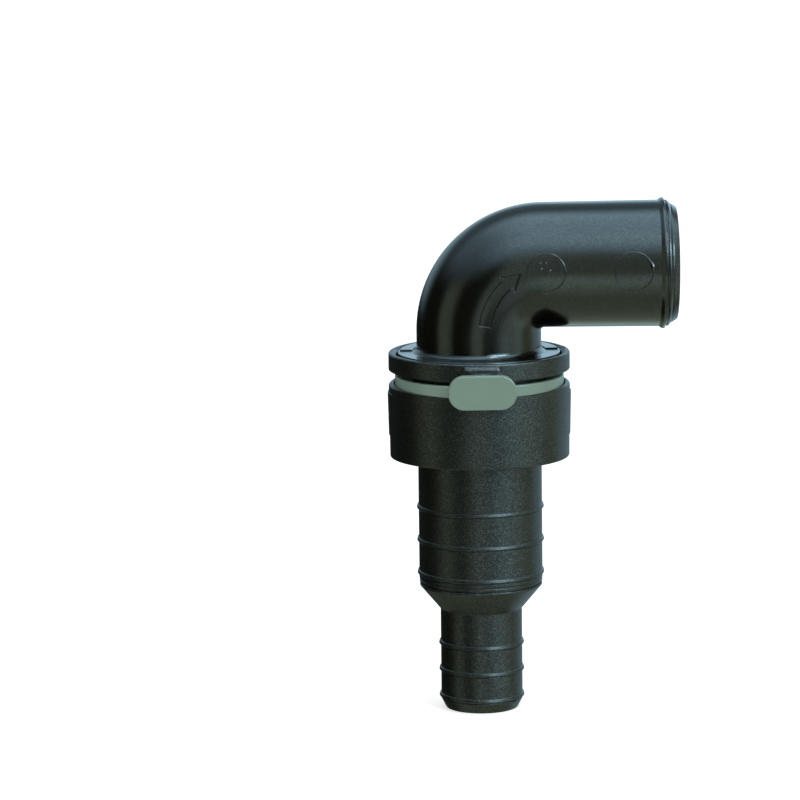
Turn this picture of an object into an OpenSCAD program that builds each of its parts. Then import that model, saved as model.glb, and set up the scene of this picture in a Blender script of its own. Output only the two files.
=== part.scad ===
// Non-return valve with a stepped hose tail below and a swivelling elbow outlet above.
// Origin: centre of the inlet end face. +Z runs up the valve, +X along the outlet spigot,
// -Y faces the thumb tab of the retaining clip.

/* [Small hose tail] */
// Outer diameter of the small hose tail
small_tail_d = 25.2; // [23:0.1:27]
// Length of the small hose tail, from the end face to the foot of the cone
small_tail_l = 31.3; // [28:0.1:40]
// Thickness of the small hose tail's wall
small_tail_wall = 2.8; // [2:0.1:4]
// Height of the gripping rings above the small tail
small_ring_h = 0.5; // [0.2:0.05:0.8]
// Height of the lowest ring on the small tail above the end face
small_ring_first = 4.2; // [3:0.1:5]
// Distance between the rings on the small tail
small_ring_pitch = 8.3; // [6:0.1:9]
// How far the inlet end face lies inside the small tail, on the radius
inlet_end_step = 1.5; // [1:0.1:2]
// Length of the tapered nose at the inlet end
inlet_nose_l = 2.9; // [2:0.1:3]

/* [Large hose tail] */
// Outer diameter of the large hose tail
large_tail_d = 38.1; // [36:0.1:41]
// Height of the cone between the two tails
tail_cone_h = 7.3; // [5:0.1:10]
// Length of the large hose tail, from the top of the cone to the cup
large_tail_l = 40.6; // [36:0.1:50]
// Thickness of the large hose tail's wall
large_tail_wall = 2.65; // [2:0.05:4]
// Height of the gripping rings above the large tail
large_ring_h = 0.45; // [0.2:0.05:0.8]
// Height of the lowest ring on the large tail above the top of the cone
large_ring_first = 4.5; // [4:0.1:6]
// Distance between the rings on the large tail
large_ring_pitch = 10.25; // [8:0.05:12]
// Depth of the groove below the lowest ring, where the small tail can be cut off
cut_groove_depth = 0.4; // [0.2:0.05:0.8]

/* [Cup, neck and collar] */
// Height of the cup from its foot to its rim
cup_h = 22.4; // [22:0.1:26]
// How much the cup is narrower at its foot than at its rim, on the diameter
cup_draft = 0.5; // [0.2:0.05:1]
// Thickness of the cup's outer skirt
cup_wall = 2.1; // [1.6:0.05:2.4]
// Thickness of the socket floor
floor_t = 2.8; // [2:0.1:4]
// Thickness of the cup's roof above the recess moulded into it from below
cup_roof = 2.5; // [2:0.1:4]
// Thickness of the ribs across that recess
core_rib_t = 1.5; // [1:0.1:2.5]
// Height of the slot that the retaining clip slides in
slot_h = 3.8; // [3:0.1:4.6]
// Thickness of the socket wall behind the clip
neck_wall = 1.85; // [1.5:0.05:2.4]
// Height of the collar above the slot
collar_h = 5.5; // [5:0.1:7]
// Thickness of the collar's rim round the flange
collar_wall = 2.3; // [1.8:0.05:3]
// Depth of the recess in the collar that takes the flange
collar_recess = 3.3; // [2.5:0.1:4]
// Width of the guide boss on the front of the collar, at its top
boss_w = 11.4; // [8:0.1:14]
// How far the guide boss stands out of the collar
boss_out = 1.2; // [0.8:0.1:2]
// How far each side pad stands out of the cup at its top
pad_out = 0.4; // [0.2:0.05:0.8]
// Height of the side pads
pad_h = 13.2; // [10:0.1:16]
// Angle that each side pad covers
pad_angle = 26; // [16:1:40]

/* [Elbow outlet] */
// Outer diameter of the elbow tube and its spigot
elbow_d = 38.3; // [37:0.1:39.6]
// Thickness of the elbow's wall
elbow_wall = 2.65; // [2:0.05:3.2]
// Radius of the bend on its inner side
bend_in_r = 0.85; // [0.5:0.05:10]
// Length of upright tube between the flange and the bend
elbow_stub_l = 7.4; // [5:0.1:20]
// Distance from the valve's axis to the end of the spigot
outlet_reach = 60.9; // [56:0.1:90]
// Height of the end ring above the spigot
end_ring_h = 0.8; // [0.4:0.05:1.2]
// How far the spigot's end face lies inside the spigot, on the radius
outlet_end_step = 1.65; // [1:0.05:1.8]
// Radius of the fillet at the foot of the elbow
foot_fillet_r = 2.7; // [1:0.1:3]
// Height of the two raised pads on the flange
flange_pad_h = 0.35; // [0.2:0.05:0.6]
// Gap between the flange and the collar's rim
flange_gap = 0.6; // [0.4:0.05:1]
// Wall of the plug behind its grooves
plug_wall = 1.6; // [1.4:0.05:2.2]
// Depth of the clip groove and of the seal groove in the plug
groove_depth = 2; // [1.7:0.05:2.4]
// Radial clearance of the plug in its socket
plug_clearance = 0.08; // [0.05:0.01:0.1]
// Thickness of the plug's wall below the seal groove
plug_skirt_t = 2.2; // [1.8:0.05:2.4]

/* [Retaining clip] */
// Radial thickness of the clip's front band
clip_band_t = 1.6; // [1.2:0.05:2.4]
// How far the clip's band lies inside the cup's outer face
clip_setback = 2.2; // [1.5:0.05:3]
// Gap between the clip and what it slides past
clip_gap = 0.3; // [0.3:0.01:0.5]
// Gap above and below the clip in its slot
clip_side_gap = 0.175; // [0.1:0.005:0.3]
// How far the arms reach behind the valve's axis
clip_arm_l = 14; // [10:0.1:16]
// Width of the thumb tab
tab_w = 20.6; // [16:0.1:26]
// Height of the thumb tab
tab_h = 11.1; // [8:0.1:12]
// Thickness of the thumb tab
tab_t = 2.8; // [2:0.1:4]
// Corner radius of the thumb tab
tab_corner_r = 5; // [2:0.1:5.4]
// Bevel round the front of the thumb tab
tab_bevel = 0.4; // [0.2:0.05:0.8]
// Bevel along the outer edges of the band
band_bevel = 0.35; // [0.2:0.05:0.6]

/* [Flap valve] */
// Diameter of the orifice in the valve seat
orifice_d = 24.4; // [22:0.1:25.4]
// How far the flap laps over the orifice
flap_lap = 1.8; // [1.4:0.1:2.2]
// Thickness of the flap's plate
flap_t = 2.2; // [1.8:0.1:2.6]
// Height of the ribs on the flap
flap_rib_h = 0.8; // [0.4:0.1:1]
// Thickness of the flap's rubber facing
facing_t = 1.6; // [1.2:0.1:2]
// Angle to which the flap opens
flap_open = 60; // [50:1:62]
// Clearance between the open flap and the plug's bore
flap_clearance = 0.8; // [0.4:0.1:1.2]
// Gap between the closed facing and the seat lip
facing_gap = 0.15; // [0.1:0.01:0.3]
// Diameter of the hinge pin
pin_d = 2; // [1.6:0.1:2.4]
// Radial clearance of the hinge pin in the flap
pin_clearance = 0.06; // [0.04:0.01:0.1]
// Distance from the edge of the flap to the hinge axis
hinge_offset = 2; // [1.8:0.1:2.4]
// Radius of the hinge ears and of the flap's knuckle
ear_r = 2; // [1.8:0.05:2.1]
// Width of the flap's knuckle
knuckle_w = 6.8; // [5:0.1:7.4]
// Thickness of each hinge ear
ear_t = 2.2; // [1.8:0.1:2.4]
// Side gap between the knuckle and each ear
ear_gap = 0.3; // [0.2:0.05:0.4]
// Thickness of the valve seat's disc
seat_t = 3.2; // [2.6:0.1:3.6]
// Height of the seat lip round the orifice
seat_lip_h = 0.8; // [0.4:0.1:1]
// Gap between the valve seat and the socket's wall
seat_gap = 0.3; // [0.2:0.05:0.5]
// Thickness of the gasket under the valve seat
gasket_t = 1.2; // [0.8:0.1:1.6]
// Radial width of the gasket
gasket_w = 4; // [3:0.1:4.6]

/* [Hidden] */
$fn = 96;
overlap = 0.5;
edge_r = 0.8;
fine_edge = 0.3;
running_gap = 0.2;
seal_fit = 0.05;
tail_ring_count = 3;
ring_crest = 0.9;
core_rib_count = 8;

// Tails and elbow
small_bore_r = small_tail_d / 2 - small_tail_wall;
large_bore_r = large_tail_d / 2 - large_tail_wall;
inlet_end_r = small_tail_d / 2 - inlet_end_step;
elbow_r = elbow_d / 2;
elbow_bore_r = elbow_r - elbow_wall;
bend_r = elbow_r + bend_in_r;
outlet_end_r = elbow_r - outlet_end_step;
outlet_l = outlet_reach - bend_r;

// Heights from the inlet end face upwards
z_cone = small_tail_l;
z_large = z_cone + tail_cone_h;
z_cup = z_large + large_tail_l;
z_floor = z_cup + floor_t;
z_rim = z_cup + cup_h;
z_collar = z_rim + slot_h;
z_top = z_collar + collar_h;
z_recess = z_top - collar_recess;
z_bend = z_top + elbow_stub_l;
z_outlet = z_bend + bend_r;
z_seat = z_floor + gasket_t;
z_disc = z_seat + seat_t;
z_lip = z_disc + seat_lip_h;
z_facing = z_lip + facing_gap;
z_plate = z_facing + facing_t;
z_pivot = z_plate + flap_t / 2;
z_plug = z_disc + running_gap;

// Flap, and the way through the plug that its open edge needs: the widest chord of a round flap
// hinged at flap_arm and turned up to flap_open lies at widest_at from the hinge axis
flap_r = orifice_d / 2 + flap_lap;
flap_arm = flap_r + hinge_offset;
flap_back = flap_arm + flap_t / 2 * sin(flap_open);
widest_at = (flap_arm - flap_back * cos(flap_open)) / pow(sin(flap_open), 2);
flap_reach = sqrt(pow(flap_back - widest_at * cos(flap_open), 2) + pow(flap_r, 2)
    - pow(widest_at - flap_arm, 2));
way_r = flap_reach + flap_clearance;
z_way = z_pivot + flap_arm * sin(flap_open) + flap_clearance;

// Radii outwards from the plug's grooves to the cup
groove_r = way_r + plug_wall;
land_r = groove_r + groove_depth;
socket_r = land_r + plug_clearance;
neck_r = socket_r + neck_wall;
band_in_r = neck_r + clip_gap;
band_r = band_in_r + clip_band_t;
cup_r = band_r + clip_setback;
recess_r = cup_r - collar_wall;
flange_r = recess_r - flange_gap;
boss_r = cup_r + boss_out;
core_r = cup_r - cup_draft / 2 - cup_wall;

// Retaining clip
clip_h = slot_h - 2 * clip_side_gap;
z_clip = z_rim + clip_side_gap;
arm_in = groove_r + clip_gap;
pillar_half = arm_in - clip_gap;
tab_back = boss_r + clip_gap;

// Seal
seal_d = groove_depth - 2 * seal_fit + plug_clearance;
seal_r = groove_r + seal_fit + seal_d / 2;
seal_groove_w = seal_d + 0.7;
z_seal = (z_plug + z_rim) / 2;

// Hinge
ear_in = knuckle_w / 2 + ear_gap;
ear_out = ear_in + ear_t;
stud_r = 2;
stud_head_r = 3.2;
stud_head_h = 1.1;

nylon = "#1d201f";
nylon_smooth = "#191c1d";
acetal = "#71897f";
rubber = "#0e0e0f";
natural = "#c9c7b8";
stainless = "#b4b7ba";

// Points of an arc round (x, y), from angle a to angle b
function arc(x, y, r, a, b, n = 6) =
    [for (i = [0:n]) [x + r * cos(a + (b - a) * i / n), y + r * sin(a + (b - a) * i / n)]];

// Outline of a low ring at height z on a tail of radius r, with sloping sides
function ring(r, z, h) = [
    [r, z - ring_crest / 2 - 1.4 * h],
    [r + h, z - ring_crest / 2],
    [r + h, z + ring_crest / 2],
    [r, z + ring_crest / 2 + 1.4 * h]
];

// All the rings on one tail, from the lowest up
function rings(r, first, pitch, h) =
    [for (i = [0:tail_ring_count - 1]) each ring(r, first + i * pitch, h)];

// Outer side of the two tails, from the end face up to the cup
function tail_outline() = concat(
    [[inlet_end_r - fine_edge, 0], [inlet_end_r, fine_edge]],
    [[small_tail_d / 2, inlet_nose_l]],
    rings(small_tail_d / 2, small_ring_first, small_ring_pitch, small_ring_h),
    [[small_tail_d / 2, z_cone], [large_tail_d / 2 - fine_edge, z_large - fine_edge]],
    [[large_tail_d / 2, z_large], [large_tail_d / 2, z_large + 0.8]],
    [[large_tail_d / 2 - cut_groove_depth, z_large + 1.2]],
    [[large_tail_d / 2 - cut_groove_depth, z_large + 1.8]],
    [[large_tail_d / 2, z_large + 2.3]],
    rings(large_tail_d / 2, z_large + large_ring_first, large_ring_pitch, large_ring_h),
    [[large_tail_d / 2, z_cup]]
);

// Outer side of the cup, from its foot to its rim
function cup_outline() = concat(
    [[cup_r - cup_draft / 2 - fine_edge, z_cup], [cup_r - cup_draft / 2, z_cup + fine_edge]],
    arc(cup_r - edge_r / 2, z_rim - edge_r / 2, edge_r / 2, 0, 90, 4)
);

// Collar and its recess for the flange, from the slot up and back down to the socket
function collar_outline() = concat(
    [[neck_r, z_rim], [neck_r, z_collar], [cup_r - fine_edge, z_collar]],
    [[cup_r, z_collar + fine_edge]],
    arc(cup_r - edge_r, z_top - edge_r, edge_r, 0, 90),
    [[recess_r + 0.75, z_top], [recess_r, z_top - 0.75]],
    [[recess_r, z_recess], [socket_r + fine_edge, z_recess], [socket_r, z_recess - fine_edge]]
);

// Inner side of the body, from the socket floor down to the inlet end
function bore_outline() = [
    [socket_r, z_floor],
    [large_bore_r, z_floor],
    [large_bore_r, z_large],
    [small_bore_r, z_cone],
    [small_bore_r, 0]
];

module valve_body() color(nylon) {
    difference() {
        union() {
            rotate_extrude()
                polygon(concat(tail_outline(), cup_outline(), collar_outline(), bore_outline()));
            rear_wall();
            guide_boss();
            side_pad();
            mirror([1, 0, 0]) side_pad();
        }
        side_slot();
        mirror([1, 0, 0]) side_slot();
        core_recess();
    }
}

// Wall behind the slot, which joins the cup to the collar at full thickness
module rear_wall() {
    intersection() {
        translate([0, 0, z_rim - overlap])
            rotate_extrude()
                translate([socket_r, 0])
                    square([cup_r - fine_edge - socket_r, slot_h + 2 * overlap]);
        translate([-cup_r, clip_arm_l + 2 * clip_gap, z_rim - overlap])
            cube([2 * cup_r, cup_r, slot_h + 2 * overlap]);
    }
}

// Opening in the side of the neck through which a clip arm reaches the plug's groove
module side_slot() {
    translate([pillar_half, -cup_r, z_rim])
        cube([cup_r, cup_r + clip_arm_l + 2 * clip_gap, slot_h]);
}

// Boss on the front of the collar, wider at its foot, with a sloping top
module guide_boss() {
    intersection() {
        rotate_extrude()
            polygon([[cup_r - overlap, z_collar], [boss_r - fine_edge, z_collar],
                [boss_r, z_collar + fine_edge], [boss_r, z_top - 1.3],
                [boss_r - 0.7, z_top - 0.3], [cup_r - overlap, z_top - 0.3]]);
        rotate([90, 0, 0])
            linear_extrude(height = boss_r)
                polygon([[-boss_w / 2 - 1, z_collar], [boss_w / 2 + 1, z_collar],
                    [boss_w / 2 + 0.4, z_top - 1.4], [boss_w / 2 - 0.5, z_top],
                    [-boss_w / 2 + 0.5, z_top], [-boss_w / 2 - 0.4, z_top - 1.4]]);
    }
}

// Low pad on the +X side of the cup, which fades out downwards
module side_pad() {
    rotate([0, 0, -pad_angle / 2])
        rotate_extrude(angle = pad_angle)
            polygon([[core_r + overlap, z_rim - 2.5], [cup_r + pad_out - 0.3, z_rim - 2.5],
                [cup_r + pad_out, z_rim - 2.8],
                [cup_r - cup_draft / 2 + pad_out / 2, z_rim - 2.5 - pad_h],
                [core_r + overlap, z_rim - 2.5 - pad_h]]);
}

// Recess between the skirt and the socket wall, open below, with ribs left across it
module core_recess() {
    difference() {
        translate([0, 0, z_cup - overlap])
            rotate_extrude()
                translate([neck_r, 0])
                    square([core_r - neck_r, cup_h - cup_roof + overlap]);
        for (i = [0:core_rib_count - 1])
            rotate([0, 0, (i + 0.5) * 360 / core_rib_count])
                translate([neck_r - overlap, -core_rib_t / 2, z_cup])
                    cube([core_r - neck_r + 2 * overlap, core_rib_t, cup_h]);
    }
}

// Outer side of the plug from its foot up, with the seal groove, the clip groove and the flange
function plug_outline() = concat(
    [[land_r - plug_skirt_t, z_plug], [land_r - 2 * fine_edge, z_plug]],
    [[land_r, z_plug + 2 * fine_edge]],
    [[land_r, z_seal - seal_groove_w / 2], [groove_r, z_seal - seal_groove_w / 2]],
    [[groove_r, z_seal + seal_groove_w / 2], [land_r, z_seal + seal_groove_w / 2]],
    [[land_r, z_rim], [groove_r, z_rim], [groove_r, z_collar], [land_r, z_collar]],
    [[land_r, z_recess + running_gap], [flange_r, z_recess + running_gap]],
    arc(flange_r - edge_r / 2, z_top - edge_r / 2, edge_r / 2, 0, 90, 4)
);

// Inner side of the plug from the flange down: the bore, the flap's way and the skirt
function way_outline() = [
    [elbow_bore_r, z_top],
    [elbow_bore_r, z_top - 2 * overlap],
    [way_r, z_way],
    [way_r, z_seal - seal_groove_w / 2 - plug_wall - way_r + land_r - plug_skirt_t],
    [land_r - plug_skirt_t, z_seal - seal_groove_w / 2 - plug_wall]
];

// Outer side of the spigot along its axis, from the bend to the end face
function spigot_outline() = concat(
    [[0, 0], [elbow_r, 0], [elbow_r, outlet_l - 6]],
    [[elbow_r + end_ring_h, outlet_l - 5], [elbow_r + end_ring_h, outlet_l - 4.1]],
    [[elbow_r - 0.1, outlet_l - 3], [outlet_end_r + 0.5, outlet_l - 1.8]],
    [[outlet_end_r + 0.1, outlet_l - 0.5], [outlet_end_r - 0.3, outlet_l]],
    [[0, outlet_l]]
);

// Quarter of a torus that turns the upright tube into the spigot
module bend(r) {
    translate([bend_r, 0, z_bend])
        rotate([90, 0, 0])
            rotate([0, 0, 90])
                rotate_extrude(angle = 90)
                    translate([bend_r, 0])
                        circle(r = r);
}

// Upright tube from the bend down into the flange
module upright_tube(r) {
    translate([0, 0, z_bend])
        mirror([0, 0, 1])
            cylinder(r = r, h = elbow_stub_l + overlap);
}

module elbow_outlet() color(nylon_smooth) {
    difference() {
        union() {
            rotate_extrude() polygon(concat(plug_outline(), way_outline()));
            upright_tube(elbow_r);
            foot_fillet();
            flange_pad();
            mirror([1, 0, 0]) flange_pad();
            bend(elbow_r);
            translate([bend_r, 0, z_outlet])
                rotate([0, 90, 0])
                    rotate_extrude() polygon(spigot_outline());
        }
        upright_tube(elbow_bore_r);
        bend(elbow_bore_r);
        translate([bend_r, 0, z_outlet])
            rotate([0, 90, 0])
                cylinder(r = elbow_bore_r, h = outlet_l + overlap);
    }
}

// Concave fillet where the elbow tube grows out of its flange
module foot_fillet() {
    rotate_extrude()
        difference() {
            translate([elbow_r - overlap, z_top - overlap])
                square([foot_fillet_r + overlap, foot_fillet_r + overlap]);
            translate([elbow_r + foot_fillet_r, z_top + foot_fillet_r])
                circle(r = foot_fillet_r);
        }
}

// Raised pad on the rear of the flange, on the +X side
module flange_pad() {
    rotate([0, 0, 4])
        rotate_extrude(angle = 66)
            polygon([[elbow_r + foot_fillet_r - 0.6, z_top - overlap],
                [flange_r - 0.6, z_top - overlap], [flange_r - 0.6, z_top + flange_pad_h],
                [elbow_r + foot_fillet_r - 0.6, z_top + flange_pad_h]]);
}

// Seal ring in the plug's groove, as it lies when fitted
module outlet_o_ring() color(rubber) {
    rotate_extrude()
        translate([seal_r, z_seal])
            circle(d = seal_d);
}

module retaining_clip() color(acetal) {
    difference() {
        union() {
            rotate_extrude()
                polygon([[groove_r, z_clip], [band_r - band_bevel, z_clip],
                    [band_r, z_clip + band_bevel], [band_r, z_clip + clip_h - band_bevel],
                    [band_r - band_bevel, z_clip + clip_h], [groove_r, z_clip + clip_h]]);
            translate([-tab_w / 2 + tab_corner_r / 2, -tab_back - overlap, z_clip])
                cube([tab_w - tab_corner_r, tab_back + overlap - groove_r, clip_h]);
        }
        clip_mouth();
        translate([-cup_r, clip_arm_l, z_rim]) cube([2 * cup_r, cup_r, slot_h]);
    }
    thumb_tab();
}

// Space between the arms: round behind the front band, straight beside the plug's groove,
// and opening out at the arms' ends
module clip_mouth() {
    translate([0, 0, z_rim])
        linear_extrude(height = slot_h) {
            intersection() {
                circle(r = band_in_r);
                translate([-arm_in, -cup_r]) square([2 * arm_in, 2 * cup_r]);
            }
            translate([-arm_in, 0]) square([2 * arm_in, cup_r]);
            polygon([[-arm_in, clip_arm_l - 3], [arm_in, clip_arm_l - 3],
                [arm_in + 1, clip_arm_l], [-arm_in - 1, clip_arm_l]]);
        }
}

// Outline of the thumb tab, smaller by inset all round
module tab_plate(inset, t) {
    rotate([90, 0, 0])
        linear_extrude(height = t)
            for (x = [-1, 1], z = [-1, 1])
                translate([x * (tab_w / 2 - tab_corner_r), z * (tab_h / 2 - tab_corner_r)])
                    circle(r = tab_corner_r - inset, $fn = 64);
}

module thumb_tab() {
    translate([0, -tab_back, z_rim + slot_h / 2 + 0.6])
        hull() {
            tab_plate(0, tab_t - tab_bevel);
            tab_plate(tab_bevel, tab_t);
        }
}

// Outline of a hinge ear or of the knuckle's foot, seen along the hinge axis
module ear(y, t) {
    translate([-flap_arm, y + t, 0])
        rotate([90, 0, 0])
            linear_extrude(height = t)
                difference() {
                    union() {
                        translate([0, z_pivot]) circle(r = ear_r);
                        translate([-ear_r, z_disc - overlap])
                            square([2 * ear_r, z_pivot - z_disc + overlap]);
                    }
                    translate([0, z_pivot]) circle(d = pin_d);
                }
}

module valve_seat() color(natural) {
    rotate_extrude()
        polygon([[orifice_d / 2, z_seat], [socket_r - seat_gap, z_seat],
            [socket_r - seat_gap, z_disc - fine_edge], [socket_r - seat_gap - fine_edge, z_disc],
            [orifice_d / 2 + 1.4, z_disc], [orifice_d / 2 + 1, z_lip], [orifice_d / 2, z_lip]]);
    ear(ear_in, ear_t);
    ear(-ear_out, ear_t);
}

module seat_gasket() color(rubber) {
    rotate_extrude()
        translate([socket_r - seat_gap - gasket_w, z_floor])
            square([gasket_w, gasket_t]);
}

module flap() color(natural) {
    difference() {
        union() {
            translate([0, 0, z_plate]) cylinder(r = flap_r, h = flap_t);
            translate([0, 0, z_plate + flap_t - overlap])
                cylinder(r = stud_head_r, h = flap_rib_h + overlap);
            for (side = [-1, 1])
                translate([-flap_arm, side * (knuckle_w / 2 - 0.7) - 0.7, z_plate + flap_t - overlap])
                    cube([flap_arm, 1.4, flap_rib_h + overlap]);
            translate([-flap_arm, -knuckle_w / 2, z_plate]) cube([flap_arm, knuckle_w, flap_t]);
            translate([-flap_arm, knuckle_w / 2, z_pivot])
                rotate([90, 0, 0])
                    cylinder(r = ear_r, h = knuckle_w);
            translate([0, 0, z_facing - overlap]) cylinder(r = stud_r, h = facing_t + 2 * overlap);
            translate([0, 0, z_facing - stud_head_h])
                cylinder(r1 = stud_r, r2 = stud_head_r, h = stud_head_h);
        }
        translate([-flap_arm, knuckle_w, z_pivot])
            rotate([90, 0, 0])
                cylinder(d = pin_d + 2 * pin_clearance, h = 2 * knuckle_w);
    }
}

module flap_facing() color(rubber) {
    difference() {
        translate([0, 0, z_facing]) cylinder(r = flap_r - 0.2, h = facing_t);
        translate([0, 0, z_facing - overlap]) cylinder(r = stud_r, h = facing_t + 2 * overlap);
    }
}

module hinge_pin() color(stainless) {
    translate([-flap_arm, ear_out, z_pivot])
        rotate([90, 0, 0])
            cylinder(d = pin_d, h = 2 * ear_out);
}

valve_body();
elbow_outlet();
outlet_o_ring();
retaining_clip();
valve_seat();
seat_gasket();
flap();
flap_facing();
hinge_pin();
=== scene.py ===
"""Looks of a non-return valve: its mouldings, their finishes, the light and the camera.

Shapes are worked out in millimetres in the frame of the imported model, and become metres when they
go into a mesh. +Z runs up the valve, +X along the outlet spigot, -Y towards the thumb tab.
"""
import math

import bpy
import numpy as np
from mathutils import Matrix


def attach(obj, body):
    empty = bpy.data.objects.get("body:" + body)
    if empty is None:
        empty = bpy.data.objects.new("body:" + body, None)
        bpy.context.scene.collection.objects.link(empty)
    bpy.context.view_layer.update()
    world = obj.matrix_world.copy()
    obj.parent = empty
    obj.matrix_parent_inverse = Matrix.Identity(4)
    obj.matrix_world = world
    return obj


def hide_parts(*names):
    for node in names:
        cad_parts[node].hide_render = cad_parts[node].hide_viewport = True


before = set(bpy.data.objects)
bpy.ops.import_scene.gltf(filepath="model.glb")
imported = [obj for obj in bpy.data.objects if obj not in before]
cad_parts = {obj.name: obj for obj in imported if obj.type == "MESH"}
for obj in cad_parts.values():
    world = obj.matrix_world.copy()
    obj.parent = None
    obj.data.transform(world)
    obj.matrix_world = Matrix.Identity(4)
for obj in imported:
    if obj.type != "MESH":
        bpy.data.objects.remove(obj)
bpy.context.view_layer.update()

# Sizes in millimetres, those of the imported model. Some outer ones follow the photograph more
# closely and differ from it by up to 0.7 mm.
MM = 0.001
SMALL_TAIL_R, SMALL_BORE_R, INLET_END_R = 12.6, 9.8, 11.1
LARGE_TAIL_R, LARGE_BORE_R = 19.05, 16.4
Z_CONE, Z_LARGE, Z_CUP, Z_FLOOR = 31.3, 38.6, 79.2, 82.0
Z_RIM, Z_COLLAR, Z_RECESS, Z_TOP = 101.15, 106.1, 108.0, 111.55
SMALL_RINGS, SMALL_RING_H = (4.2, 12.5, 20.8), 0.62
LARGE_RINGS, LARGE_RING_H = (43.1, 53.35, 63.6), 0.6
CUP_R, CUP_FOOT_R, CORE_R, CORE_TOP = 27.83, 27.58, 25.48, 99.1
SOCKET_R, NECK_R, RECESS_R, BOSS_OUT = 21.88, 23.73, 25.53, 1.2
REAR_Y, PILLAR_X, CORE_RIBS, CORE_RIB_T = 14.6, 19.8, 8, 1.5
ELBOW_R, SPIGOT_R, ELBOW_BORE_R, BEND_R, FLANGE_R = 19.15, 19.35, 16.5, 20.0, 24.93
LAND_R, GROOVE_R, WAY_R, SKIRT_R = 21.8, 19.8, 18.2, 19.6
Z_PLUG, Z_SKIRT, Z_WAY, Z_BEND, Z_OUTLET = 86.6, 91.16, 104.7, 118.0, 138.0
SEAL_LOW, SEAL_HIGH, OUTLET_L = 92.76, 95.44, 40.6
BAND_IN_R, BAND_R, BAND_AHEAD, ARM_IN, ARM_L = 24.03, 25.9, 2.15, 20.1, 14.0
Z_CLIP, CLIP_H, CLIP_BEVEL = 101.2, 3.65, 0.55
TAB_W, TAB_H, TAB_CORNER, TAB_Z, TAB_BACK, TAB_FRONT = 20.6, 10.4, 4.9, 103.55, -29.33, -32.13

# Trim and marks as the photograph shows them, in millimetres and degrees
PAD_LOW, PAD_HIGH, PAD_OUT, PAD_HALF_ANGLE = 85.9, 99.4, 0.4, 21
BOSS_SHOULDER, LIP_H, NIB_X, NIB_Y, NIB_H = 109.3, 1.1, 26.35, 5.3, 0.16
FLANGE_PAD_IN, FLANGE_PAD_OUT, FLANGE_PAD_H = ELBOW_R + 1.4, FLANGE_R - 0.6, 0.42
ARROW_DEPTH, ARROW_EDGE = 0.6, 0.42
CIRCLE_X, FAR_CIRCLE_X, CIRCLE_R, CIRCLE_NICK = 20.0, 46.55, 5.8, 0.5

# Points round the valve's axis, and the angle in degrees from which an edge is shaded sharp
ROUND, CREASE_ANGLE = 192, 38


def fillet(corners, closed=True, step=13.0):
    """Outline through corners (x, y, radius). Each corner becomes the arc that touches both of its
    sides, and each straight side gets a point close to the arc, so that flats stay flat in light."""
    support = 0.12
    spots = np.array([c[:2] for c in corners], dtype=float)
    radii = [c[2] if len(c) > 2 else 0.0 for c in corners]
    count = len(corners)
    out = []
    for i in range(count):
        here = spots[i]
        if not closed and i in (0, count - 1):
            out.append(here[None])
            continue
        back, ahead = spots[i - 1] - here, spots[(i + 1) % count] - here
        back_l, ahead_l = np.linalg.norm(back), np.linalg.norm(ahead)
        back, ahead = back / back_l, ahead / ahead_l
        bend = math.pi - math.acos(max(-1.0, min(1.0, float(back @ ahead))))
        reach = min(radii[i] * math.tan(bend / 2), 0.47 * back_l, 0.47 * ahead_l)
        if bend < 0.02 or reach < 0.01:
            out.append(here[None])
            continue
        radius = reach / math.tan(bend / 2)
        middle = here + (back + ahead) / np.linalg.norm(back + ahead) * radius / math.cos(bend / 2)
        start, end = here + back * reach - middle, here + ahead * reach - middle
        k = np.linspace(0, 1, max(2, math.ceil(math.degrees(bend) / step)) + 1)[:, None]
        arc = middle + (np.sin((1 - k) * bend) * start + np.sin(k * bend) * end) / math.sin(bend)
        before = [here + back * (reach + support)] if back_l > 2 * (reach + 2 * support) else []
        after = [here + ahead * (reach + support)] if ahead_l > 2 * (reach + 2 * support) else []
        out.append(np.vstack(before + [arc] + after))
    return np.vstack(out)


def shell(rings, closed=True):
    """Closed skin over rows of ring points. The rows join up too, or else the two end rows are
    filled by triangles that meet at their middle. Faces point outwards: the sign of the enclosed
    volume, summed over the faces, tells which way that is."""
    rows, cols = rings.shape[:2]
    points = rings.reshape(-1, 3)
    row = np.arange(rows if closed else rows - 1)[:, None]
    col = np.arange(cols)[None]
    beside, above = (col + 1) % cols, (row + 1) % rows
    corners = (row * cols + col, row * cols + beside, above * cols + beside, above * cols + col)
    quads = np.stack(np.broadcast_arrays(*corners), axis=-1).reshape(-1, 4)
    tris = np.zeros((0, 3), dtype=int)
    if not closed:
        low, high = len(points), len(points) + 1
        top = (rows - 1) * cols
        points = np.vstack([points, rings[0].mean(axis=0), rings[-1].mean(axis=0)])
        col, beside = col[0], beside[0]
        tris = np.vstack([np.stack([beside, col, np.full(cols, low)], axis=-1),
                          np.stack([top + col, top + beside, np.full(cols, high)], axis=-1)])
    parts = np.vstack([quads[:, [0, 1, 2]], quads[:, [0, 2, 3]], tris])
    a, b, c = (points[parts[:, i]] for i in range(3))
    if np.einsum("ij,ij->", a, np.cross(b, c)) < 0:
        quads, tris = quads[:, ::-1], tris[:, ::-1]
    return points, quads, tris


def revolve(profile):
    """Closed ring: each profile point (r, z) goes once round the valve's axis."""
    turn = np.linspace(0, 2 * math.pi, ROUND, endpoint=False)
    r, z = profile[:, :1], profile[:, 1:]
    return shell(np.stack([r * np.cos(turn), r * np.sin(turn), z + 0 * turn], axis=-1))


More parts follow.
